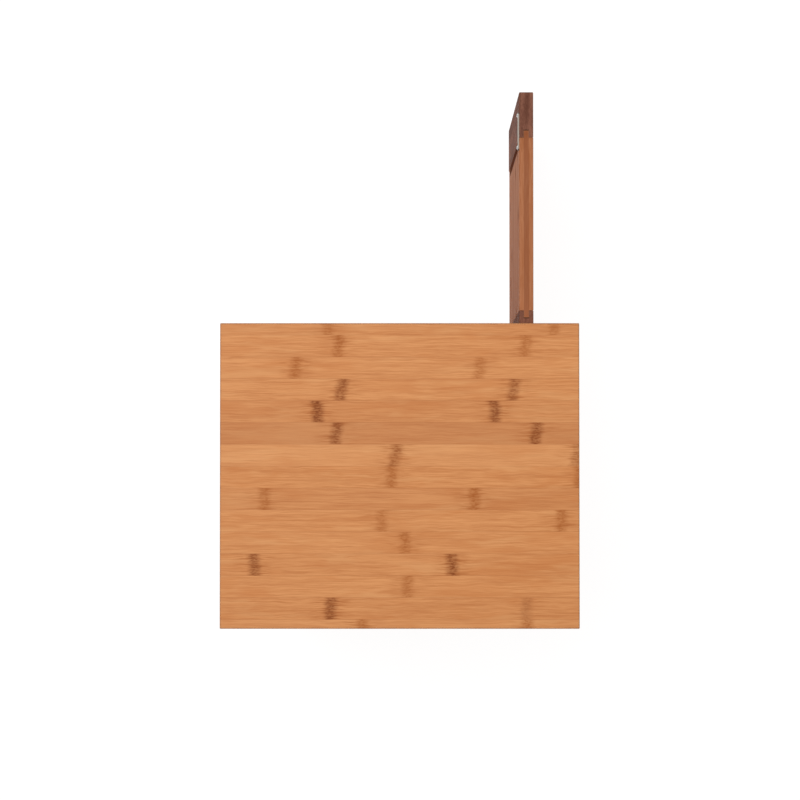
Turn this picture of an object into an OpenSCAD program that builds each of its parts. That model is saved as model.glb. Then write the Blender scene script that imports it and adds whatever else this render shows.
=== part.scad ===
// Folding tray table: a bamboo tray that lifts off a screen-like base of three frames.
// The centre frame stands under the back of the tray. A gate swings out behind it at
// the right end and another swings out in front of it at the left end.
// +X is to the right, +Y to the back and +Z up. The origin is on the floor, under the
// middle of the open table.

/* [Tray] */
// Width of the tray from left to right
tray_w = 480; // [400:1:600]
// Depth of the tray from front to back
tray_d = 408; // [390:1:520]
// Thickness of the tray board
tray_t = 19; // [16:1:25]
// Height of the tray's top face above the floor
table_h = 520; // [420:1:720]
// Chamfer on the tray's edges
tray_ease = 1.2; // [0.4:0.1:2.5]

/* [Frames] */
// Width of the centre frame
frame_w = 359; // [290:1:400]
// Thickness of every stile and panel
frame_t = 19; // [16:1:25]
// Distance from the tray's back edge to the centre frame's back face
back_inset = 28; // [10:1:60]
// Width of the stiles next to a hinge
hinge_stile_w = 45; // [35:1:60]
// Width of each gate's outer stile
outer_stile_w = 61; // [45:1:80]
// Height of each panel's lower edge above the floor
panel_lift = 30; // [15:1:80]
// Chamfer on the edges of stiles and panels
frame_ease = 0.8; // [0.3:0.1:1.5]
// Room between the gates' top edges and the tray
swing_gap = 0.5; // [0.3:0.1:1.5]

/* [Joints in the wood] */
// Thickness of each panel's tongue
tongue_t = 7; // [5:0.5:9]
// Length of each panel's tongue
tongue_l = 9.3; // [6:0.1:14]
// Room on each side of a tongue in its groove
groove_play = 0.2; // [0.1:0.05:0.4]
// Room between a tongue's end and the bottom of its groove
groove_room = 1; // [0.3:0.1:2]
// Width of the walnut inlay beside each outer stile
inlay_w = 12; // [4:0.5:16]
// Depth of the walnut inlay
inlay_t = 2; // [1:0.5:4]
// Bamboo left between an outer stile's shoulder and the inlay
inlay_margin = 1; // [1:0.5:12]
// Distance from the panel's lower edge to the inlay
inlay_low = 40; // [20:1:120]
// Distance from the frame's top to the inlay
inlay_down = 24; // [24:1:150]

/* [Hinges] */
// Height of one butt hinge
hinge_h = 51; // [40:1:70]
// Width of one hinge leaf
leaf_w = 17; // [13:1:22]
// Thickness of one hinge leaf
leaf_t = 1.5; // [1:0.1:2.5]
// Radius of the hinge knuckles
knuckle_r = 3; // [2.5:0.1:4]
// Radius of the hinge pins
pin_r = 1.5; // [1:0.1:1.8]
// Running clearance of a pin in its knuckles
pin_play = 0.05; // [0.02:0.01:0.1]
// Distance from the floor to the middle of the lower hinges
hinge_low = 95; // [70:1:150]
// Distance from the frames' top to the middle of the upper hinges
hinge_down = 95; // [70:1:150]

/* [Fittings] */
// Length of a strike plate
catch_l = 51; // [45:1:70]
// Length of a magnet plate, which fits between the strike plate's screw heads
magnet_l = 33; // [22:1:34]
// Height of the strike plates and magnet plates
catch_h = 14; // [11:1:18]
// Thickness of the strike plate on a gate
strike_t = 1.7; // [1:0.1:2.2]
// Distance from a gate's outer end to its strike plate
catch_in = 27; // [15:1:60]
// Room between a strike plate and the magnet plate when the gate is shut
catch_gap = 0.6; // [0.3:0.1:1.5]
// Radius of the screw heads
screw_head_r = 3; // [2.4:0.1:3.5]
// Height of the domed heads of the strike plates' screws
dome_h = 1.6; // [1:0.1:2]
// Radius of the screw shanks
screw_r = 1.6; // [1.2:0.1:2]
// Length of the screws
screw_l = 12; // [8:1:14]
// Radius of the tray's locating pins
peg_r = 3; // [2:0.25:3.5]
// Length of a locating pin below the tray
peg_drop = 8; // [5:1:14]
// Length of a locating pin inside the tray
peg_hold = 12; // [8:1:13]
// Radial clearance of a locating pin in its bush
peg_play = 0.1; // [0.05:0.01:0.2]
// Wall of the bushes in the centre frame
bush_wall = 2; // [1:0.25:2.5]
// Radius of the floor glides
glide_r = 8; // [5:0.5:8]
// Thickness of the floor glides
glide_t = 4; // [3:0.5:8]

/* [Hidden] */
$fn = 48;

walnut = [0.36, 0.23, 0.17];
bamboo = [0.80, 0.55, 0.35];
edge_bamboo = [0.65, 0.44, 0.31];
steel = [0.72, 0.72, 0.70];
brass = [0.78, 0.62, 0.32];
nylon = [0.25, 0.22, 0.20];

// A gate stops square against the centre frame with this much room
stop_gap = 1;
// Room between a hinge knuckle and the wood beside it
knuckle_gap = 0.2;
// Room between the ends of neighbouring knuckles
knuckle_split = 0.15;
// Height of a hinge pin's button head, and how far it is set in from the knuckle
button_h = 1.2;
button_in = 0.4;
// Depth of a countersink and its room around the screw head
head_depth = screw_head_r - screw_r;
screw_play = 0.05;
// Cross slot in the screw heads
slot_w = 0.7;
slot_depth = 0.9;
slot_l = 1.2 * screw_head_r;
// The radius of the ball that a domed head is cut from, and the angle that it covers
dome_ball = (screw_head_r * screw_head_r + dome_h * dome_h) / (2 * dome_h);
dome_angle = acos(1 - dome_h / dome_ball);
dome_steps = 8;
// How much narrower a floor glide is at the bottom
glide_taper = 1;
// Extra length that carries a cut past a face
cut = 1;

// Top of the centre frame, which carries the tray, and of the gates, which pass under it
frame_top = table_h - tray_t;
gate_top = frame_top - swing_gap;

// The hinge axis stands in the corner between a gate and the centre frame
axis_off = knuckle_r + knuckle_gap;
// A shut gate's outer end comes flush with the far end of the centre frame
gate_l = frame_w - frame_t - stop_gap;
gate_out = stop_gap + gate_l - back_inset;
tray_front_y = -(tray_d + gate_out) / 2;
tray_back_y = tray_front_y + tray_d;
back_y = tray_back_y - back_inset;
front_y = back_y - frame_t;
mid_y = back_y - frame_t / 2;
gate_end_y = back_y + stop_gap + gate_l;
gate_x = frame_w / 2 - frame_t;
axis_x = gate_x - axis_off;
axis_y = back_y + axis_off;

groove_t = tongue_t + 2 * groove_play;
groove_l = tongue_l + groove_room;
// A groove stops just below its panel, so the foot of the stile stays whole
groove_foot = panel_lift - groove_room;
centre_panel_l = frame_w - 2 * hinge_stile_w;
gate_panel_l = gate_l - hinge_stile_w - outer_stile_w;
shoulder_y = gate_end_y - outer_stile_w;
inlay_y = shoulder_y - inlay_margin - inlay_w;

hinge_z = [gate_top - hinge_down, hinge_low];
leaf_root = 0.8;
leaf_screw_in = leaf_w * 0.6;
leaf_screw_dz = hinge_h / 3;
knuckle_h = hinge_h / 3;
web_w = knuckle_r - leaf_root;

// Fittings: distance below the chamfer, from a plate's end to its screw, and corner cut
plate_down = 0.2;
plate_end = screw_head_r + 1;
plate_corner = 2;
plate_z = gate_top - frame_ease - plate_down - catch_h;
plate_y = gate_end_y - catch_in - catch_l;
magnet_t = 2 * axis_off - strike_t - catch_gap;
magnet_x = -frame_w / 2 + catch_in + (catch_l - magnet_l) / 2;

peg_x = frame_w / 2 - hinge_stile_w / 2;
bush_r = peg_r + peg_play + bush_wall;
bush_below = 4;
bush_h = peg_drop + bush_below;
bush_sink = 0.3;

// ---- Shapes that repeat ----

// A rectangle with its four corners cut off at 45 degrees
module cut_rect(a, b, e)
    polygon([[e, 0], [a - e, 0], [a, e], [a, b - e], [a - e, b], [e, b], [0, b - e], [0, e]]);

// A board whose twelve edges are chamfered
module eased_block(w, d, h, e)
    intersection() {
        linear_extrude(h) cut_rect(w, d, e);
        rotate([90, 0, 90]) linear_extrude(w) cut_rect(d, h, e);
        translate([0, d, 0]) rotate([90, 0, 0]) linear_extrude(d) cut_rect(w, h, e);
    }

// The centre frame's own corner: its length runs along +X and its back face is at frame_t
module centre_place() translate([-frame_w / 2, front_y, 0]) children();

// The right gate's own corner: its length runs along +Y and its left face is at frame_t
module gate_place() translate([frame_w / 2, back_y + stop_gap, 0]) rotate([0, 0, 90]) children();

// The left gate and its fittings are the right ones turned half round about the centre frame
module turned() translate([0, mid_y, 0]) rotate([0, 0, 180]) translate([0, -mid_y, 0]) children();

// A walnut stile with a groove for the panel's tongue along one edge
module stile(w, top, groove_far)
    difference() {
        translate([0, 0, glide_t]) eased_block(w, frame_t, top - glide_t, frame_ease);
        translate([groove_far ? w - groove_l : -cut, (frame_t - groove_t) / 2, groove_foot])
            cube([groove_l + cut, groove_t, top - groove_foot + cut]);
    }

// A bamboo panel with a tongue along both upright edges
module panel(l, top) {
    translate([0, 0, panel_lift]) eased_block(l, frame_t, top - panel_lift, frame_ease);
    translate([-tongue_l, (frame_t - tongue_t) / 2, panel_lift])
        cube([l + 2 * tongue_l, tongue_t, top - panel_lift]);
}

// A countersunk screw that goes in along +Z from a face at z = 0
module screw_body(play)
    rotate_extrude() polygon([
        [0, 0], [screw_head_r + play, 0], [screw_r + play, head_depth + play],
        [screw_r + play, screw_l - screw_r], [0, screw_l + play]
    ]);

module screw()
    difference() {
        screw_body(0);
        for (a = [0, 90])
            rotate([0, 0, a])
                translate([-slot_l / 2, -slot_w / 2, -cut])
                    cube([slot_l, slot_w, cut + slot_depth]);
    }

// A screw with a domed head that stands on a face at z = 0 and goes in along +Z
module dome_screw()
    difference() {
        rotate_extrude() polygon(concat(
            [for (i = [0:dome_steps]) let (a = dome_angle * i / dome_steps)
                [dome_ball * sin(a), dome_ball * (1 - cos(a)) - dome_h]],
            [[screw_r, 0], [screw_r, screw_l - screw_r], [0, screw_l]]
        ));
        for (a = [0, 90])
            rotate([0, 0, a])
                translate([-slot_l / 2, -slot_w / 2, -dome_h - cut])
                    cube([slot_l, slot_w, cut + slot_depth]);
    }

// The hole of a screw with a domed head
module shank_hole()
    translate([0, 0, -cut]) cylinder(r = screw_r + screw_play, h = screw_l + screw_play + cut);

// The mouth of a countersunk screw's hole in a leaf or plate
module screw_hole() {
    screw_body(screw_play);
    translate([0, 0, -cut]) cylinder(r = screw_head_r + screw_play, h = cut);
}

// Places of the screws of one moving leaf and one fixed leaf, pointing into the wood
module moving_leaf_screws(zc)
    for (dz = [-leaf_screw_dz, leaf_screw_dz])
        translate([gate_x, axis_y + leaf_screw_in, zc + dz]) rotate([0, 90, 0]) children();

module fixed_leaf_screws(zc)
    for (dz = [-leaf_screw_dz, leaf_screw_dz])
        translate([axis_x - leaf_screw_in, back_y, zc + dz]) rotate([90, 0, 0]) children();

// Places of the strike plate's and the magnet plate's screws
module strike_screw_places()
    for (y = [plate_y + plate_end, plate_y + catch_l - plate_end])
        translate([gate_x - strike_t, y, plate_z + catch_h / 2]) rotate([0, 90, 0]) children();

module magnet_screw_places()
    for (x = [magnet_x + plate_end, magnet_x + magnet_l - plate_end])
        translate([x, back_y + magnet_t, plate_z + catch_h / 2]) rotate([90, 0, 0]) children();

// The knuckles of a hinge: the fixed leaf has the outer two and the moving leaf the middle one
module knuckle(zc, i)
    translate([axis_x, axis_y, zc + (i - 0.5) * knuckle_h + knuckle_split / 2])
        difference() {
            cylinder(r = knuckle_r, h = knuckle_h - knuckle_split);
            translate([0, 0, -cut]) cylinder(r = pin_r + pin_play, h = knuckle_h + 2 * cut);
        }

// What is kept clear of a knuckle's bore where its leaf joins it
module bore_room(zc)
    translate([axis_x, axis_y, zc - hinge_h]) cylinder(r = pin_r + pin_play, h = 2 * hinge_h);

module moving_leaf(zc)
    difference() {
        union() {
            knuckle(zc, 0);
            translate([axis_x, axis_y + leaf_root, zc - (knuckle_h - knuckle_split) / 2])
                cube([axis_off + leaf_t, web_w, knuckle_h - knuckle_split]);
            translate([gate_x, axis_y + leaf_root, zc - hinge_h / 2])
                cube([leaf_t, leaf_w - leaf_root, hinge_h]);
        }
        bore_room(zc);
        moving_leaf_screws(zc) screw_hole();
    }

module fixed_leaf(zc)
    difference() {
        union() {
            for (i = [-1, 1]) {
                knuckle(zc, i);
                translate([
                    axis_x - knuckle_r, back_y - leaf_t,
                    zc + (i - 0.5) * knuckle_h + knuckle_split / 2
                ])
                    cube([web_w, axis_off + leaf_t, knuckle_h - knuckle_split]);
            }
            translate([axis_x - leaf_w, back_y - leaf_t, zc - hinge_h / 2])
                cube([leaf_w - leaf_root, leaf_t, hinge_h]);
        }
        bore_room(zc);
        fixed_leaf_screws(zc) screw_hole();
    }

// A hinge pin with a button head at each end
module hinge_pin(zc)
    translate([axis_x, axis_y, zc]) {
        cylinder(r = pin_r, h = hinge_h + 2 * knuckle_split, center = true);
        for (s = [-1, 1])
            translate([0, 0, s * (hinge_h / 2 + knuckle_split + button_h / 2)])
                cylinder(r = knuckle_r - button_in, h = button_h, center = true);
    }

// Two floor glides under the ends of a frame of length l
module glides(l, first_w, last_w)
    for (x = [first_w / 2, l - last_w / 2])
        translate([x, frame_t / 2, 0]) cylinder(r1 = glide_r - glide_taper, r2 = glide_r, h = glide_t);

// A plate with cut corners in the X-Z plane, of length l and thickness t along +Y
module plate(l, t)
    translate([0, t, 0]) rotate([90, 0, 0])
        linear_extrude(t) cut_rect(l, catch_h, plate_corner);

// ---- Tray ----

module tray_board()
    color(bamboo)
        difference() {
            translate([-tray_w / 2, tray_front_y, frame_top])
                eased_block(tray_w, tray_d, tray_t, tray_ease);
            for (s = [-1, 1])
                translate([s * peg_x, mid_y, frame_top - cut])
                    cylinder(r = peg_r + screw_play, h = peg_hold + cut);
        }

module tray_pegs()
    color(brass)
        for (s = [-1, 1])
            translate([s * peg_x, mid_y, frame_top - peg_drop])
                cylinder(r = peg_r, h = peg_drop + peg_hold);

// ---- Centre frame ----

// What the centre frame's stiles and panel are cut for: leaves, screws and bushes
module centre_cuts() {
    for (zc = hinge_z) {
        translate([axis_x - leaf_w, back_y - leaf_t, zc - hinge_h / 2])
            cube([leaf_w - leaf_root, leaf_t + cut, hinge_h]);
        fixed_leaf_screws(zc) screw_body(screw_play);
    }
    magnet_screw_places() screw_body(screw_play);
}

module centre_wood()
    difference() {
        children();
        centre_cuts();
        turned() centre_cuts();
        for (s = [-1, 1])
            translate([s * peg_x, mid_y, frame_top - bush_h - bush_sink])
                cylinder(r = bush_r, h = bush_h + bush_sink + cut);
    }

module centre_stile_left()
    color(walnut) centre_wood() centre_place() stile(hinge_stile_w, frame_top, true);

module centre_stile_right()
    color(walnut) centre_wood() centre_place()
        translate([frame_w - hinge_stile_w, 0, 0]) stile(hinge_stile_w, frame_top, false);

module centre_panel()
    color(edge_bamboo) centre_wood() centre_place()
        translate([hinge_stile_w, 0, 0]) panel(centre_panel_l, frame_top);

module centre_bushes()
    color(brass)
        for (s = [-1, 1])
            translate([s * peg_x, mid_y, frame_top - bush_h - bush_sink])
                difference() {
                    cylinder(r = bush_r, h = bush_h);
                    translate([0, 0, -cut]) cylinder(r = peg_r + peg_play, h = bush_h + 2 * cut);
                }

module centre_glides()
    color(nylon) centre_place() glides(frame_w, hinge_stile_w, hinge_stile_w);

module back_magnet_plate()
    color(steel)
        difference() {
            translate([magnet_x, back_y, plate_z]) plate(magnet_l, magnet_t);
            magnet_screw_places() screw_hole();
        }

module magnet_plate_screws()
    color(steel) {
        magnet_screw_places() screw();
        turned() magnet_screw_places() screw();
    }

module fixed_screws() color(steel) for (zc = hinge_z) fixed_leaf_screws(zc) screw();

// ---- Right gate ----

// What the gate's wood is cut for: leaves, screws and the inlay
module gate_wood()
    difference() {
        children();
        for (zc = hinge_z) {
            translate([gate_x - cut, axis_y + leaf_root, zc - hinge_h / 2])
                cube([leaf_t + cut, leaf_w - leaf_root, hinge_h]);
            moving_leaf_screws(zc) screw_body(screw_play);
        }
        strike_screw_places() shank_hole();
        translate([gate_x - cut, inlay_y, panel_lift + inlay_low])
            cube([inlay_t + cut, inlay_w, gate_top - inlay_down - panel_lift - inlay_low]);
    }

module gate_hinge_stile()
    color(walnut) gate_wood() gate_place() stile(hinge_stile_w, gate_top, true);

module gate_outer_stile()
    color(walnut) gate_wood() gate_place()
        translate([gate_l - outer_stile_w, 0, 0]) stile(outer_stile_w, gate_top, false);

module gate_panel()
    color(edge_bamboo) gate_wood() gate_place()
        translate([hinge_stile_w, 0, 0]) panel(gate_panel_l, gate_top);

module gate_inlay()
    color(walnut)
        translate([gate_x, inlay_y, panel_lift + inlay_low])
            cube([inlay_t, inlay_w, gate_top - inlay_down - panel_lift - inlay_low]);

module gate_leaf_screws() color(steel) for (zc = hinge_z) moving_leaf_screws(zc) screw();

module strike_plate()
    color(steel)
        difference() {
            translate([gate_x, plate_y, plate_z]) rotate([0, 0, 90]) plate(catch_l, strike_t);
            strike_screw_places() shank_hole();
        }

module strike_screws() color(steel) strike_screw_places() dome_screw();

module gate_glides() color(nylon) gate_place() glides(gate_l, hinge_stile_w, outer_stile_w);

// ---- The nodes ----

tray_board();
tray_pegs();

centre_stile_left();
centre_stile_right();
centre_panel();
centre_bushes();
centre_glides();
back_magnet_plate();
turned() back_magnet_plate();  // front_magnet_plate
magnet_plate_screws();

color(steel) fixed_leaf(hinge_z[0]);  // right_fixed_leaf_upper
color(steel) fixed_leaf(hinge_z[1]);  // right_fixed_leaf_lower
color(steel) hinge_pin(hinge_z[0]);  // right_hinge_pin_upper
color(steel) hinge_pin(hinge_z[1]);  // right_hinge_pin_lower
fixed_screws();  // right_fixed_leaf_screws
turned() color(steel) fixed_leaf(hinge_z[0]);  // left_fixed_leaf_upper
turned() color(steel) fixed_leaf(hinge_z[1]);  // left_fixed_leaf_lower
turned() color(steel) hinge_pin(hinge_z[0]);  // left_hinge_pin_upper
turned() color(steel) hinge_pin(hinge_z[1]);  // left_hinge_pin_lower
turned() fixed_screws();  // left_fixed_leaf_screws

gate_hinge_stile();  // right_gate_hinge_stile
gate_outer_stile();  // right_gate_outer_stile
gate_panel();  // right_gate_panel
gate_inlay();  // right_gate_inlay
color(steel) moving_leaf(hinge_z[0]);  // right_gate_leaf_upper
color(steel) moving_leaf(hinge_z[1]);  // right_gate_leaf_lower
gate_leaf_screws();  // right_gate_leaf_screws
strike_plate();  // right_strike_plate
strike_screws();  // right_strike_screws
gate_glides();  // right_gate_glides

turned() gate_hinge_stile();  // left_gate_hinge_stile
turned() gate_outer_stile();  // left_gate_outer_stile
turned() gate_panel();  // left_gate_panel
turned() gate_inlay();  // left_gate_inlay
turned() color(steel) moving_leaf(hinge_z[0]);  // left_gate_leaf_upper
turned() color(steel) moving_leaf(hinge_z[1]);  // left_gate_leaf_lower
turned() gate_leaf_screws();  // left_gate_leaf_screws
turned() strike_plate();  // left_strike_plate
turned() strike_screws();  // left_strike_screws
turned() gate_glides();  // left_gate_glides
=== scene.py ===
import math

import bmesh
import bpy
from mathutils import Matrix, Vector


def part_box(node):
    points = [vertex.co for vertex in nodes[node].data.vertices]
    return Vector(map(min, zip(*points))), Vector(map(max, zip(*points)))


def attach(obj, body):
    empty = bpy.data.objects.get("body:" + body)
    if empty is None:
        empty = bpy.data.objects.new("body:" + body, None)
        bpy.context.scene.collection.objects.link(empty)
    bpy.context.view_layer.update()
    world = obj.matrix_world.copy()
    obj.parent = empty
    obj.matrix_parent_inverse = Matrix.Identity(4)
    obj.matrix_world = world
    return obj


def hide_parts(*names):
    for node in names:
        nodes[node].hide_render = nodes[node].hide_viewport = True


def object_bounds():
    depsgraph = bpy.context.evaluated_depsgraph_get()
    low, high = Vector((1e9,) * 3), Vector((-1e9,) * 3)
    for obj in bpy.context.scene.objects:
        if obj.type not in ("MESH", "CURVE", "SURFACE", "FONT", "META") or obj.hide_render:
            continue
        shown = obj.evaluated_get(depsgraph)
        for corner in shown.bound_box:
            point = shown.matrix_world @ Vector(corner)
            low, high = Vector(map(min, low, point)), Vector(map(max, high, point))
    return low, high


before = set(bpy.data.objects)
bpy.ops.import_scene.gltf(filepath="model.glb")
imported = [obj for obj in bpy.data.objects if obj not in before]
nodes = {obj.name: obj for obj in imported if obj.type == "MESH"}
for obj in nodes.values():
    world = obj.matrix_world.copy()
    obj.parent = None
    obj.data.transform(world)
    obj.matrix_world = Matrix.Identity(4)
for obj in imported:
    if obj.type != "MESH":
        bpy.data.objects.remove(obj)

cad_low, cad_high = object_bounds()

# ---------------------------------------------------------------------------
# The tray: one board of flat-pressed bamboo. Long strips 29 mm wide are glued
# edge to edge, each with the dark scars where its stalk had a joint, and the
# board is planed flat, eased along its edges and lacquered.
# ---------------------------------------------------------------------------
STRIP_PITCH = 0.0292
FIRST_STRIP = 0.016
EDGE_ROUND = 0.0012
# Painted shade: a dark line along the tray's eased edges
EDGE_SHADE = (0.190, 0.105, 0.060)
EDGE_SHADE_WIDTH = 0.0032
TRAY_SHINE = 0.12
LACQUER = 0.02
LACQUER_ROUGHNESS = 0.3
WOOD_RELIEF = 0.22
WOOD_LIFT = 0.0004
# The place of a scar that a strip doesn't have, far off the board
NO_MARK = 9.0
# A face whose normal leans this far to a side is the board's sawn end
FACES_THE_END = 0.6
END_DARKER = 0.35


class Tree:
    """Short ways to place nodes in a material or a node group."""

    def __init__(self, tree):
        self.tree = tree

    def node(self, kind, **settings):
        made = self.tree.nodes.new("ShaderNode" + kind)
        for name, value in settings.items():
            setattr(made, name, value)
        return made

    def join(self, source, target):
        if isinstance(source, (int, float)):
            target.default_value = source
        else:
            self.tree.links.new(source, target)

    def math(self, operation, *values, clamp=False):
        made = self.node("Math", operation=operation, use_clamp=clamp)
        for i, value in enumerate(values):
            self.join(value, made.inputs[i])
        return made.outputs[0]

    def vector(self, x, y, z):
        made = self.node("CombineXYZ")
        for i, value in enumerate((x, y, z)):
            self.join(value, made.inputs[i])
        return made.outputs[0]

    def noise(self, vector, detail=2.0, roughness=0.5, distortion=0.0):
        made = self.node("TexNoise")
        made.inputs["Scale"].default_value = 1.0
        made.inputs["Detail"].default_value = detail
        made.inputs["Roughness"].default_value = roughness
        made.inputs["Distortion"].default_value = distortion
        self.join(vector, made.inputs["Vector"])
        return made.outputs["Fac"]

    def spread(self, value, low, high):
        """Rises smoothly from 0 at the first limit to 1 at the second."""
        made = self.node("MapRange", interpolation_type="SMOOTHSTEP")
        for i, item in enumerate((value, low, high)):
            self.join(item, made.inputs[i])
        return made.outputs[0]

    def scale(self, value, amount, clamp=False):
        return self.math("MULTIPLY", value, amount, clamp=clamp)

    def mix(self, factor, first, second, blend="MIX"):
        made = self.node("Mix", data_type="RGBA", blend_type=blend)
        self.join(factor, made.inputs["Factor"])
        sockets = [s for s in made.inputs if s.type == "RGBA"]
        for value, socket in zip((first, second), sockets):
            if isinstance(value, tuple):
                socket.default_value = (*value, 1.0)
            else:
                self.tree.links.new(value, socket)
        return [s for s in made.outputs if s.type == "RGBA"][0]


def new_group(name, inputs, outputs):
    """Starts a node group whose inputs are all plain numbers."""
    group = bpy.data.node_groups.new(name, "ShaderNodeTree")
    for label in inputs:
        group.interface.new_socket(label, in_out="INPUT", socket_type="NodeSocketFloat")
    for label, kind in outputs:
        group.interface.new_socket(label, in_out="OUTPUT", socket_type="NodeSocket" + kind)
    tree = Tree(group)
    start = group.nodes.new("NodeGroupInput")
    end = group.nodes.new("NodeGroupOutput")
    return group, tree, start.outputs, end.inputs


# Edge mask, 1 along every outside edge of a piece and 0 on its flats: worn edges on most pieces,
# painted shade along the tray's edges
EDGE_MASK_STARTS = 0.01
EDGE_MASK_FULL = 0.16
edge_wear_and_shade_group, t, given, out = new_group("worn and shaded edges", ["Width"], [("Wear And Shade", "Float")])
rounded = t.node("Bevel", samples=4)
t.join(given["Width"], rounded.inputs["Radius"])
surface = t.node("NewGeometry")
facing = t.node("VectorMath", operation="DOT_PRODUCT")
t.join(rounded.outputs["Normal"], facing.inputs[0])
t.join(surface.outputs["Normal"], facing.inputs[1])
turned_away = t.math("SUBTRACT", 1.0, facing.outputs["Value"])
t.join(t.spread(turned_away, EDGE_MASK_STARTS, EDGE_MASK_FULL), out["Wear And Shade"])

# Bamboo: fibres and streaks along each strip, its tone, its scars and the glue lines.
# A reach gives the distances in metres at which a mark begins and is at its full strength.
FIBRE_DARK = (0.525, 0.192, 0.059)
FIBRE_LIGHT = (0.690, 0.300, 0.110)
WARM_CLOUD = (0.545, 0.185, 0.050)
PALE_PATCH = (0.710, 0.345, 0.138)
DARK_STRIP = (0.450, 0.160, 0.054)
LIGHT_STRIP = (0.730, 0.345, 0.140)
VEIN = (0.390, 0.120, 0.036)
BESIDE_A_SCAR = (0.370, 0.100, 0.016)
FAINT_SCAR = (0.345, 0.088, 0.010)
STRONG_SCAR = (0.222, 0.052, 0.008)
GLUE_LINE = (0.330, 0.105, 0.036)
FIBRE_SWING = 0.0042
SCAR_RAGGED = 0.011
SCAR_REACH = (0.0122, 0.0010)
HALO_REACH = (0.036, 0.004)
SEAM_REACH = (0.00055, 0.00015)
STRIP_SEED = 7.31

bamboo_group, t, given, out = new_group(
    "bamboo strips",
    [
        "Along", "Across", "Depth", "Start", "Pitch",
        "Mark A", "Mark B", "Force A", "Force B", "Tone", "Lean",
    ],
    [("Color", "Color"), ("Roughness", "Float"), ("Height", "Float")],
)
along, across, depth = given["Along"], given["Across"], given["Depth"]
place = t.math("DIVIDE", t.math("SUBTRACT", across, given["Start"]), given["Pitch"])
strip = t.math("FLOOR", place)
in_strip = t.math("SUBTRACT", place, strip)
seed = t.scale(strip, STRIP_SEED)

# The fibres run level and swing a little where they pass a joint of the stalk
slow = t.vector(t.scale(along, 34.0), t.scale(across, 75.0), seed)
swing = t.math("SUBTRACT", t.noise(slow, 2.0), 0.5)
level = t.math("ADD", across, t.scale(swing, FIBRE_SWING))


def stretched(long_scale, side_scale, detail, distortion=0.0):
    """Noise drawn out along the fibres, different in every strip; both scales are per metre."""
    x = t.scale(along, long_scale)
    y = t.scale(level, side_scale)
    z = t.math("ADD", t.scale(depth, side_scale), seed)
    return t.noise(t.vector(x, y, z), detail, 0.6, distortion)


fibre = stretched(42.0, 1500.0, 2.0)
streak = stretched(17.0, 560.0, 3.0, 0.2)
broad = stretched(6.0, 150.0, 2.0, 0.4)
cloud = stretched(10.0, 34.0, 2.0, 0.4)
grain = t.math("ADD", t.scale(fibre, 0.34), t.scale(streak, 0.42))
grain = t.math("ADD", grain, t.scale(broad, 0.24))
colour = t.mix(t.spread(grain, 0.37, 0.63), FIBRE_DARK, FIBRE_LIGHT)
warm = t.spread(cloud, 0.47, 0.72)
colour = t.mix(t.scale(warm, 0.50), colour, WARM_CLOUD)
pale = t.spread(stretched(8.0, 60.0, 3.0, 0.4), 0.50, 0.70)
colour = t.mix(t.scale(pale, 0.42), colour, PALE_PATCH)
colour = t.mix(t.scale(given["Tone"], -0.70, clamp=True), colour, DARK_STRIP)
colour = t.mix(t.scale(given["Tone"], 0.70, clamp=True), colour, LIGHT_STRIP)
vein = t.spread(stretched(9.0, 620.0, 3.0, 0.2), 0.58, 0.74)
colour = t.mix(t.scale(vein, 0.32), colour, VEIN)

# Each scar lies across its strip, a little aslant and ragged, with darker fibres beside it
slant = t.math("MULTIPLY", t.math("SUBTRACT", 0.5, in_strip), given["Lean"])
ragged = t.noise(t.vector(t.scale(level, 120.0), seed, 0.0), 3.0)
drift = t.math("ADD", t.scale(t.math("SUBTRACT", ragged, 0.5), SCAR_RAGGED), slant)
scar, halo = 0.0, 0.0
for mark, force in (("Mark A", "Force A"), ("Mark B", "Force B")):
    distance = t.math("SUBTRACT", t.math("ADD", along, drift), given[mark])
    distance = t.math("ABSOLUTE", distance)
    near = t.math("MULTIPLY", t.spread(distance, *SCAR_REACH), given[force])
    scar = t.math("ADD", scar, near)
    near = t.math("MULTIPLY", t.spread(distance, *HALO_REACH), given[force])
    halo = t.math("ADD", halo, near)
specks = t.spread(stretched(190.0, 620.0, 2.0), 0.40, 0.62)
dashes = t.spread(stretched(30.0, 560.0, 2.0), 0.46, 0.64)
scarred = t.math("MULTIPLY", scar, t.math("ADD", t.scale(specks, 0.52), 0.48))
beside = t.math("MULTIPLY", halo, dashes)
colour = t.mix(t.scale(beside, 0.78, clamp=True), colour, BESIDE_A_SCAR)
burnt = t.mix(t.spread(given["Force A"], 0.66, 0.94), FAINT_SCAR, STRONG_SCAR)
colour = t.mix(t.scale(scarred, 1.02, clamp=True), colour, burnt)
to_seam = t.math("MINIMUM", in_strip, t.math("SUBTRACT", 1.0, in_strip))
glue = t.spread(t.math("MULTIPLY", to_seam, given["Pitch"]), *SEAM_REACH)
colour = t.mix(t.scale(glue, 0.26), colour, GLUE_LINE)
t.join(colour, out["Color"])
rough = t.math("ADD", t.scale(fibre, 0.16), 0.38)
t.join(t.math("ADD", rough, t.scale(scarred, 0.12)), out["Roughness"])
relief = t.math("SUBTRACT", t.scale(fibre, 0.5), t.scale(scarred, 0.35))
t.join(t.math("SUBTRACT", relief, t.scale(glue, 0.8)), out["Height"])


def place_group(tree, group, **values):
    """Puts a group in a material; Mark_A in the call is its socket Mark A."""
    made = tree.node("Group", node_tree=group)
    for label, value in values.items():
        tree.join(value, made.inputs[label.replace("_", " ")])
    return made.outputs


def object_axes(tree):
    """The place on a piece in metres, in the shared frame."""
    spot = tree.node("SeparateXYZ")
    tree.join(tree.node("TexCoord").outputs["Object"], spot.inputs[0])
    return {"x": spot.outputs[0], "y": spot.outputs[1], "z": spot.outputs[2]}


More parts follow.
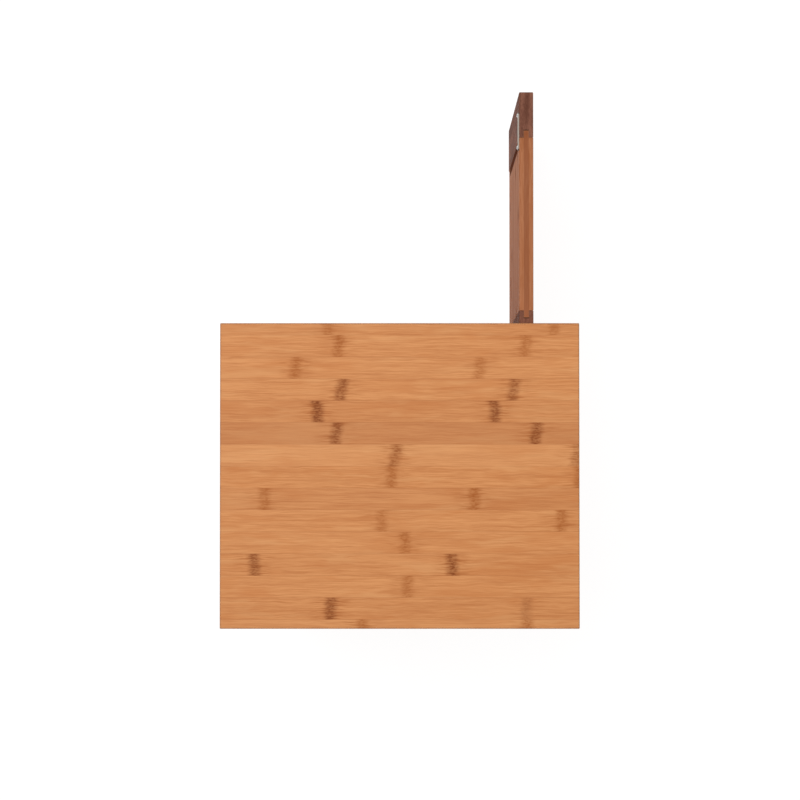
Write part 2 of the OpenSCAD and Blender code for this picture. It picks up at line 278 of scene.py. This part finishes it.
def new_material(name, specular, coat=0.0):
    material = bpy.data.materials.new(name)
    material.use_nodes = True
    tree = Tree(material.node_tree)
    shader = material.node_tree.nodes["Principled BSDF"]
    shader.inputs["Specular IOR Level"].default_value = specular
    shader.inputs["Coat Weight"].default_value = coat
    shader.inputs["Coat Roughness"].default_value = LACQUER_ROUGHNESS
    return material, tree, shader


def finish_surface(tree, shader, colour, roughness, height, strength, lift=WOOD_LIFT):
    """Joins what changes over the surface to the shader."""
    bump = tree.node("Bump")
    bump.inputs["Strength"].default_value = strength
    bump.inputs["Distance"].default_value = lift
    tree.join(height, bump.inputs["Height"])
    tree.join(colour, shader.inputs["Base Color"])
    tree.join(roughness, shader.inputs["Roughness"])
    tree.join(bump.outputs["Normal"], shader.inputs["Normal"])


tray_low, tray_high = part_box("tray_board")
first_glue = tray_high.y - FIRST_STRIP
strip_count = math.ceil((first_glue - tray_low.y) / STRIP_PITCH) + 1

# The strips from the back to the front: tone, the places of two scars from the middle
# of the board in metres, how dark each of them is, and how far they lean in metres
TRAY_STRIPS = [
    (-0.15, -0.096, 0.206, 0.54, 0.54, 0.000),
    (0.05, -0.082, 0.168, 0.69, 0.61, 0.001),
    (0.10, -0.139, 0.107, 0.66, 0.53, 0.000),
    (0.05, -0.078, 0.152, 0.87, 0.73, 0.006),
    (-0.25, -0.110, 0.127, 1.00, 0.90, -0.004),
    (-0.60, -0.085, 0.182, 0.87, 0.97, 0.001),
    (0.40, -0.006, 0.237, 0.80, 0.68, 0.006),
    (0.00, -0.011, 0.240, 0.68, 0.72, 0.004),
    (-0.30, -0.180, 0.100, 0.61, 0.79, 0.000),
    (0.05, -0.024, 0.216, 0.50, 0.66, 0.000),
    (0.15, 0.007, NO_MARK, 0.68, 0.00, 0.000),
    (-0.10, -0.195, 0.069, 0.88, 0.94, -0.001),
    (0.10, 0.011, NO_MARK, 0.62, 0.00, 0.001),
    (-0.15, -0.092, 0.169, 0.90, 0.37, 0.001),
    (0.25, -0.050, 0.170, 0.68, 0.68, 0.000),
]

bm = bmesh.new()
bmesh.ops.create_cube(bm, size=1.0)
bmesh.ops.transform(
    bm,
    matrix=Matrix.Translation((tray_low + tray_high) / 2)
    @ Matrix.Diagonal((*(tray_high - tray_low), 1.0)),
    verts=bm.verts,
)
bmesh.ops.bevel(
    bm, geom=bm.edges[:], offset=EDGE_ROUND, offset_type="OFFSET", segments=3,
    profile=0.5, affect="EDGES", material=-1,
)
for i in range(strip_count - 1):
    bmesh.ops.bisect_plane(
        bm, geom=bm.verts[:] + bm.edges[:] + bm.faces[:],
        plane_co=(0, first_glue - i * STRIP_PITCH, 0), plane_no=(0, 1, 0),
    )
STRIP_VALUES = ("tone", "scar_one", "scar_two", "force_one", "force_two", "lean")
layers = [bm.faces.layers.float.new(label) for label in STRIP_VALUES]
for face in bm.faces:
    number = math.ceil((first_glue - face.calc_center_median().y) / STRIP_PITCH)
    number = min(max(number, 0), len(TRAY_STRIPS) - 1)
    values = TRAY_STRIPS[number]
    if abs(face.normal.x) > FACES_THE_END:
        values = (values[0] - END_DARKER, NO_MARK, NO_MARK, 0.0, 0.0, 0.0)
    for layer, value in zip(layers, values):
        face[layer] = value
bmesh.ops.recalc_face_normals(bm, faces=bm.faces[:])
tray_mesh = bpy.data.meshes.new("tray_strips")
bm.to_mesh(tray_mesh)
bm.free()
tray = bpy.data.objects.new("tray_strips", tray_mesh)
bpy.context.scene.collection.objects.link(tray)

bamboo_top, tree, shader = new_material("lacquered bamboo tray", TRAY_SHINE, LACQUER)
at = object_axes(tree)
own = {}
for label in STRIP_VALUES:
    own[label] = tree.node("Attribute", attribute_name=label).outputs["Fac"]
board = place_group(
    tree, bamboo_group, Along=at["x"], Across=at["y"], Depth=at["z"],
    Start=first_glue, Pitch=STRIP_PITCH, Mark_A=own["scar_one"], Mark_B=own["scar_two"],
    Force_A=own["force_one"], Force_B=own["force_two"], Tone=own["tone"], Lean=own["lean"],
)
# Painted shade: the edge mask lays a dark line along the tray's eased edges
edge_wear_and_shade = place_group(tree, edge_wear_and_shade_group, Width=EDGE_SHADE_WIDTH)["Wear And Shade"]
colour = tree.mix(edge_wear_and_shade, board["Color"], EDGE_SHADE)
finish_surface(tree, shader, colour, board["Roughness"], board["Height"], WOOD_RELIEF)
tray_mesh.materials.append(bamboo_top)
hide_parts("tray_board")
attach(tray, "tray")

# ---------------------------------------------------------------------------
# The tray's locating pegs: two turned brass pins pressed into the underside of
# the board. They stand in the brass bushes of the centre frame.
# ---------------------------------------------------------------------------
LINE_LENGTHWAYS = 60.0
LINE_CROSSWAYS = 2600.0
TOUCH_SCALE = 90.0
BRASS_DARK = (0.48, 0.30, 0.10)
BRASS_LIGHT = (0.74, 0.53, 0.24)
METAL_SHINE = 0.5
METAL_WEAR_WIDTH = 0.0006
METAL_EDGE_GAIN = 1.2
METAL_RELIEF = 0.10
METAL_LIFT = 0.0001

metal_group, t, given, out = new_group(
    "drawn metal", ["Along", "Side", "Depth"],
    [("Shade", "Float"), ("Roughness", "Float"), ("Height", "Float")],
)
lines = t.noise(t.vector(
    t.scale(given["Along"], LINE_LENGTHWAYS),
    t.scale(given["Side"], LINE_CROSSWAYS),
    t.scale(given["Depth"], LINE_CROSSWAYS),
), 2.0)
handled = [t.scale(given[label], TOUCH_SCALE) for label in ("Along", "Side", "Depth")]
handled = t.noise(t.vector(*handled), 3.0)
t.join(t.math("ADD", t.scale(lines, 0.5), t.scale(handled, 0.5)), out["Shade"])
t.join(t.math("ADD", t.scale(lines, 0.14), t.scale(handled, 0.22)), out["Roughness"])
t.join(lines, out["Height"])


def metal(name, dark, light, along, side, depth, base_roughness=0.16):
    """A metal whose draw lines run along one axis, a little paler on its edges."""
    material, tree, shader = new_material(name, METAL_SHINE)
    at = object_axes(tree)
    lines = place_group(tree, metal_group, Along=at[along], Side=at[side], Depth=at[depth])
    colour = tree.mix(tree.spread(lines["Shade"], 0.35, 0.65), dark, light)
    edge_wear_and_shade = place_group(tree, edge_wear_and_shade_group, Width=METAL_WEAR_WIDTH)["Wear And Shade"]
    edge = tuple(min(1.0, c * METAL_EDGE_GAIN) for c in light)
    colour = tree.mix(tree.scale(edge_wear_and_shade, 0.4), colour, edge)
    roughness = tree.math("ADD", lines["Roughness"], base_roughness)
    shader.inputs["Metallic"].default_value = 1.0
    finish_surface(tree, shader, colour, roughness, lines["Height"], METAL_RELIEF, METAL_LIFT)
    return material


def dress(node, material):
    """Gives a CAD node its finish."""
    slots = nodes[node].data.materials
    if len(slots) == 0:
        slots.append(material)
    for i in range(len(slots)):
        slots[i] = material


brass = metal("turned brass", BRASS_DARK, BRASS_LIGHT, "z", "x", "y")
dress("tray_pegs", brass)

# ---------------------------------------------------------------------------
# The centre frame's walnut stiles: straight-grained boards 45 mm wide, planed
# and oiled, with a groove for the panel's tongue. The hinge leaves are let in.
# ---------------------------------------------------------------------------
WALNUT_DARK = (0.118, 0.043, 0.027)
WALNUT_LIGHT = (0.272, 0.116, 0.075)
WALNUT_PORES = (0.062, 0.026, 0.017)
WALNUT_EDGE = (0.190, 0.098, 0.070)
WALNUT_SHINE = 0.03
WALNUT_RELIEF = 0.25
RING_FLATNESS = 0.16
WOOD_WEAR_WIDTH = 0.0015

walnut_group, t, given, out = new_group(
    "oiled walnut", ["Along", "Side", "Depth", "Seed"],
    [("Color", "Color"), ("Roughness", "Float"), ("Height", "Float")],
)


def walnut_noise(long_scale, cross_scale, detail, distortion):
    """Noise drawn out along the board; both scales are per metre."""
    return t.noise(t.vector(
        t.math("ADD", t.scale(given["Along"], long_scale), given["Seed"]),
        t.scale(given["Side"], cross_scale),
        t.scale(given["Depth"], cross_scale),
    ), detail, 0.55, distortion)


bands = walnut_noise(2.6, 90.0, 3.0, 0.3)
fine = walnut_noise(9.0, 1300.0, 2.0, 0.2)
pores = t.spread(walnut_noise(60.0, 5200.0, 1.0, 0.0), 0.60, 0.72)
grain = t.math("ADD", t.scale(bands, 0.65), t.scale(fine, 0.35))
colour = t.mix(t.spread(grain, 0.34, 0.66), WALNUT_DARK, WALNUT_LIGHT)
colour = t.mix(t.scale(pores, 0.55), colour, WALNUT_PORES)
t.join(colour, out["Color"])
t.join(t.math("ADD", t.scale(fine, 0.20), 0.60), out["Roughness"])
t.join(t.math("SUBTRACT", t.scale(fine, 0.4), pores), out["Height"])


def walnut(name, seed, wide, tint=None, tint_amount=0.0, shine=WALNUT_SHINE):
    """Upright walnut: grain along Z, the growth rings lying along the board's wide side."""
    material, tree, shader = new_material(name, shine)
    at = object_axes(tree)
    at[wide] = tree.scale(at[wide], RING_FLATNESS)
    wood = place_group(tree, walnut_group, Along=at["z"], Side=at["x"], Depth=at["y"], Seed=seed)
    colour = wood["Color"]
    if tint:
        colour = tree.mix(tint_amount, colour, tint)
    edge_wear_and_shade = place_group(tree, edge_wear_and_shade_group, Width=WOOD_WEAR_WIDTH)["Wear And Shade"]
    colour = tree.mix(tree.scale(edge_wear_and_shade, 0.45), colour, WALNUT_EDGE)
    finish_surface(tree, shader, colour, wood["Roughness"], wood["Height"], WALNUT_RELIEF)
    return material


dress("centre_stile_left", walnut("walnut left stile", seed=3.1, wide="x"))
dress("centre_stile_right", walnut("walnut right stile", seed=8.7, wide="x"))

# ---------------------------------------------------------------------------
# The centre frame's panel: a bamboo board 19 mm thick, pressed from three
# layers. Its strips lie level, and a tongue at each end is glued in a stile.
# ---------------------------------------------------------------------------
CORE_HALF = 0.0030
PLY_LINE = 0.0004
PANEL_TINT = (0.65, 0.62, 0.82)
PANEL_CORE = (0.250, 0.082, 0.038)
PANEL_GLUE = (0.160, 0.054, 0.024)
PANEL_EDGE = (0.470, 0.260, 0.165)
PANEL_SHINE = 0.004
PANEL_SCAR_LEAN = 0.002
SCAR_SPREAD = 0.30
SCAR_APART = 0.24

# Each strip of a panel draws its own two scars, how dark they are, and its tone
luck_group, t, given, out = new_group(
    "strip luck", ["Across", "Start", "Pitch", "Middle", "Length", "Seed"],
    [("Mark A", "Float"), ("Mark B", "Float"), ("Force", "Float"), ("Tone", "Float")],
)
place = t.math("DIVIDE", t.math("SUBTRACT", given["Across"], given["Start"]), given["Pitch"])
strip = t.math("ADD", t.math("FLOOR", place), given["Seed"])


def luck(offset):
    """A number from 0 to 1 that belongs to one strip."""
    made = t.node("TexWhiteNoise", noise_dimensions="1D")
    t.join(t.math("ADD", strip, offset), made.inputs["W"])
    return made.outputs["Value"]


reach = t.math("SUBTRACT", luck(0.13), 0.5)
mark = t.math("ADD", given["Middle"], t.math("MULTIPLY", reach, given["Length"]))
t.join(mark, out["Mark A"])
t.join(t.math("ADD", mark, SCAR_APART), out["Mark B"])
t.join(t.math("ADD", t.scale(luck(0.37), 0.5), 0.5), out["Force"])
t.join(t.math("SUBTRACT", t.scale(luck(0.71), 0.9), 0.5), out["Tone"])


def bamboo_panel(name, node, along, depth, seed):
    """A standing three-layer board: strips along one level axis, layers across the other."""
    low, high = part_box(node)
    material, tree, shader = new_material(name, PANEL_SHINE)
    at = object_axes(tree)
    lucky = place_group(
        tree, luck_group, Across=at["z"], Start=low.z, Pitch=STRIP_PITCH,
        Middle=getattr(low + high, along) / 2, Length=SCAR_SPREAD, Seed=seed,
    )
    wood = place_group(
        tree, bamboo_group, Along=at[along], Across=at["z"], Depth=at[depth], Start=low.z,
        Pitch=STRIP_PITCH, Mark_A=lucky["Mark A"], Mark_B=lucky["Mark B"],
        Force_A=lucky["Force"], Force_B=lucky["Force"], Tone=lucky["Tone"],
        Lean=PANEL_SCAR_LEAN,
    )
    centre = getattr(low + high, depth) / 2
    inside = tree.math("ABSOLUTE", tree.math("SUBTRACT", at[depth], centre))
    core = tree.spread(inside, CORE_HALF + PLY_LINE, CORE_HALF)
    glue = tree.math("ABSOLUTE", tree.math("SUBTRACT", inside, CORE_HALF))
    glue = tree.spread(glue, PLY_LINE, PLY_LINE * 0.4)
    colour = tree.mix(1.0, wood["Color"], PANEL_TINT, "MULTIPLY")
    colour = tree.mix(tree.scale(core, 0.55), colour, PANEL_CORE)
    colour = tree.mix(tree.scale(glue, 0.3), colour, PANEL_GLUE)
    edge_wear_and_shade = place_group(tree, edge_wear_and_shade_group, Width=WOOD_WEAR_WIDTH)["Wear And Shade"]
    colour = tree.mix(tree.scale(edge_wear_and_shade, 0.4), colour, PANEL_EDGE)
    finish_surface(tree, shader, colour, wood["Roughness"], wood["Height"], WOOD_RELIEF)
    return material


centre_bamboo = bamboo_panel("bamboo centre panel", "centre_panel", "x", "y", seed=2.0)
dress("centre_panel", centre_bamboo)

# ---------------------------------------------------------------------------
# What is fixed to the centre frame: turned brass bushes in the stiles' tops,
# nylon glides nailed under the feet, and thin steel magnet plates near the top.
# ---------------------------------------------------------------------------
NYLON_DARK = (0.030, 0.026, 0.023)
NYLON_SCUFFED = (0.062, 0.055, 0.050)
NYLON_EDGE = (0.120, 0.110, 0.100)
NYLON_WEAR_WIDTH = 0.001
NYLON_SHINE = 0.3
NYLON_RELIEF = 0.2
NYLON_LIFT = 0.0002
SPECKLE_SCALE = 900.0
SCUFF_SCALE = 150.0

dress("centre_bushes", brass)

nylon, tree, shader = new_material("matt nylon", NYLON_SHINE)
at = object_axes(tree)
speckle = tree.noise(tree.vector(*(tree.scale(at[axis], SPECKLE_SCALE) for axis in "xyz")), 2.0)
scuff = tree.noise(tree.vector(*(tree.scale(at[axis], SCUFF_SCALE) for axis in "xyz")), 3.0)
edge_wear_and_shade = place_group(tree, edge_wear_and_shade_group, Width=NYLON_WEAR_WIDTH)["Wear And Shade"]
colour = tree.mix(tree.spread(scuff, 0.4, 0.7), NYLON_DARK, NYLON_SCUFFED)
colour = tree.mix(tree.scale(edge_wear_and_shade, 0.4), colour, NYLON_EDGE)
roughness = tree.math("ADD", tree.scale(speckle, 0.2), 0.45)
finish_surface(tree, shader, colour, roughness, speckle, NYLON_RELIEF, NYLON_LIFT)
dress("centre_glides", nylon)

PLATE_DARK = (0.50, 0.49, 0.48)
PLATE_LIGHT = (0.72, 0.71, 0.69)
SCREW_DARK = (0.55, 0.54, 0.53)
SCREW_LIGHT = (0.80, 0.79, 0.77)
magnet_plate_steel = metal("brushed plate", PLATE_DARK, PLATE_LIGHT, "x", "z", "y", 0.20)
screw_steel = metal("bright screw", SCREW_DARK, SCREW_LIGHT, "x", "y", "z", 0.12)
for node in ("back_magnet_plate", "front_magnet_plate"):
    dress(node, magnet_plate_steel)
dress("magnet_plate_screws", screw_steel)

# ---------------------------------------------------------------------------
# The hinges: pairs of steel butt hinges 51 mm high, pressed from sheet with
# rolled knuckles, on turned pins with button heads, held by countersunk screws.
# ---------------------------------------------------------------------------
LEAF_DARK = (0.44, 0.43, 0.42)
LEAF_LIGHT = (0.68, 0.67, 0.65)
PIN_DARK = (0.52, 0.51, 0.50)
PIN_LIGHT = (0.76, 0.75, 0.73)
leaf_steel = metal("rolled hinge steel", LEAF_DARK, LEAF_LIGHT, "z", "x", "y", 0.18)
pin_steel = metal("turned pin", PIN_DARK, PIN_LIGHT, "z", "x", "y", 0.10)
for hand in ("right", "left"):
    for level in ("upper", "lower"):
        dress(f"{hand}_fixed_leaf_{level}", leaf_steel)
        dress(f"{hand}_gate_leaf_{level}", leaf_steel)
        dress(f"{hand}_hinge_pin_{level}", pin_steel)
    dress(f"{hand}_fixed_leaf_screws", screw_steel)
    dress(f"{hand}_gate_leaf_screws", screw_steel)

# ---------------------------------------------------------------------------
# The gates: each is a walnut hinge stile, a three-layer bamboo panel with a
# walnut inlay whose near-black colour is painted shade of a groove, and a wider outer stile.
# A steel strike plate is screwed on near the top, where it meets the magnet plate when the gate
# is shut.
# ---------------------------------------------------------------------------
# Painted shade: the inlay is coloured near black to stand in for the shade inside a groove
# beside the outer stile
INLAY_PAINTED_SHADE = (0.085, 0.024, 0.012)
INLAY_SHADE_STRENGTH = 0.80
STRIKE_DARK = (0.195, 0.170, 0.145)
STRIKE_LIGHT = (0.285, 0.252, 0.218)
OUTER_STILE_SEED = 4.3
shade_darkened_inlay = walnut("walnut inlay darkened with painted shade", 5.5, "y", INLAY_PAINTED_SHADE, INLAY_SHADE_STRENGTH, shine=0.0)
strike_steel = metal("brushed strike", STRIKE_DARK, STRIKE_LIGHT, "y", "z", "x", 0.30)
for hand, seed in (("right", 12.0), ("left", 47.0)):
    dress(f"{hand}_gate_hinge_stile", walnut(f"walnut {hand} hinge stile", seed, "y"))
    outer = walnut(f"walnut {hand} outer stile", seed + OUTER_STILE_SEED, "y")
    dress(f"{hand}_gate_outer_stile", outer)
    panel = f"{hand}_gate_panel"
    dress(panel, bamboo_panel(f"bamboo {hand} gate", panel, "y", "x", seed))
    dress(f"{hand}_gate_inlay", shade_darkened_inlay)
    dress(f"{hand}_strike_plate", strike_steel)
    dress(f"{hand}_strike_screws", screw_steel)
    dress(f"{hand}_gate_glides", nylon)

# ---------------------------------------------------------------------------
# The room: a plain pale floor, a wide soft light overhead and a soft fill from
# the right, with a long lens high above the table.
# ---------------------------------------------------------------------------
FLOOR_SIZE = 60.0
FLOOR_GREY = 0.22
FLOOR_ROUGHNESS = 0.9
FLOOR_GLOW = 0.88
SKY_STRENGTH = 0.42
WHITE = (1.0, 1.0, 1.0, 1.0)

bpy.ops.mesh.primitive_plane_add(size=FLOOR_SIZE)
floor = bpy.context.object
floor.name = "floor"
pale, tree, shader = new_material("pale floor", 0.0)
shader.inputs["Base Color"].default_value = (FLOOR_GREY, FLOOR_GREY, FLOOR_GREY, 1.0)
shader.inputs["Roughness"].default_value = FLOOR_ROUGHNESS
shader.inputs["Emission Color"].default_value = WHITE
shader.inputs["Emission Strength"].default_value = FLOOR_GLOW
floor.data.materials.append(pale)

world = bpy.data.worlds.new("soft studio")
bpy.context.scene.world = world
world.use_nodes = True
sky = world.node_tree.nodes["Background"]
sky.inputs["Color"].default_value = WHITE
sky.inputs["Strength"].default_value = SKY_STRENGTH


def soft_light(name, place, aim, size, power):
    light = bpy.data.lights.new(name, "AREA")
    light.shape = "DISK"
    light.size = size
    light.energy = power
    lamp = bpy.data.objects.new(name, light)
    lamp.location = place
    lamp.rotation_euler = (Vector(aim) - Vector(place)).to_track_quat("-Z", "Y").to_euler()
    bpy.context.scene.collection.objects.link(lamp)


table_middle = (cad_low + cad_high) / 2
soft_light("overhead", place=(-0.7, 0.5, 3.4), aim=table_middle, size=2.4, power=58.0)
soft_light("fill", place=(2.6, 1.4, 2.6), aim=table_middle, size=2.0, power=22.0)

# The camera hangs high above the front half of the tray and tips a little to the back
TRAY_MIDDLE_Y = (tray_low.y + tray_high.y) / 2
FORWARD_OF_MIDDLE = 0.0819
RIGHT_OF_MIDDLE = 0.0004
CAMERA_HEIGHT = 5.21
LENS = 175.0
SENSOR = 36.0
TIP = math.radians(2.02)
camera_data = bpy.data.cameras.new("camera")
camera_data.lens = LENS
camera_data.sensor_width = SENSOR
camera = bpy.data.objects.new("camera", camera_data)
camera.location = (
    RIGHT_OF_MIDDLE,
    TRAY_MIDDLE_Y - FORWARD_OF_MIDDLE,
    tray_low.z + CAMERA_HEIGHT,
)
camera.rotation_euler = (TIP, 0.0, 0.0)
bpy.context.scene.collection.objects.link(camera)
bpy.context.scene.camera = camera
bpy.context.scene.view_settings.view_transform = "Standard"
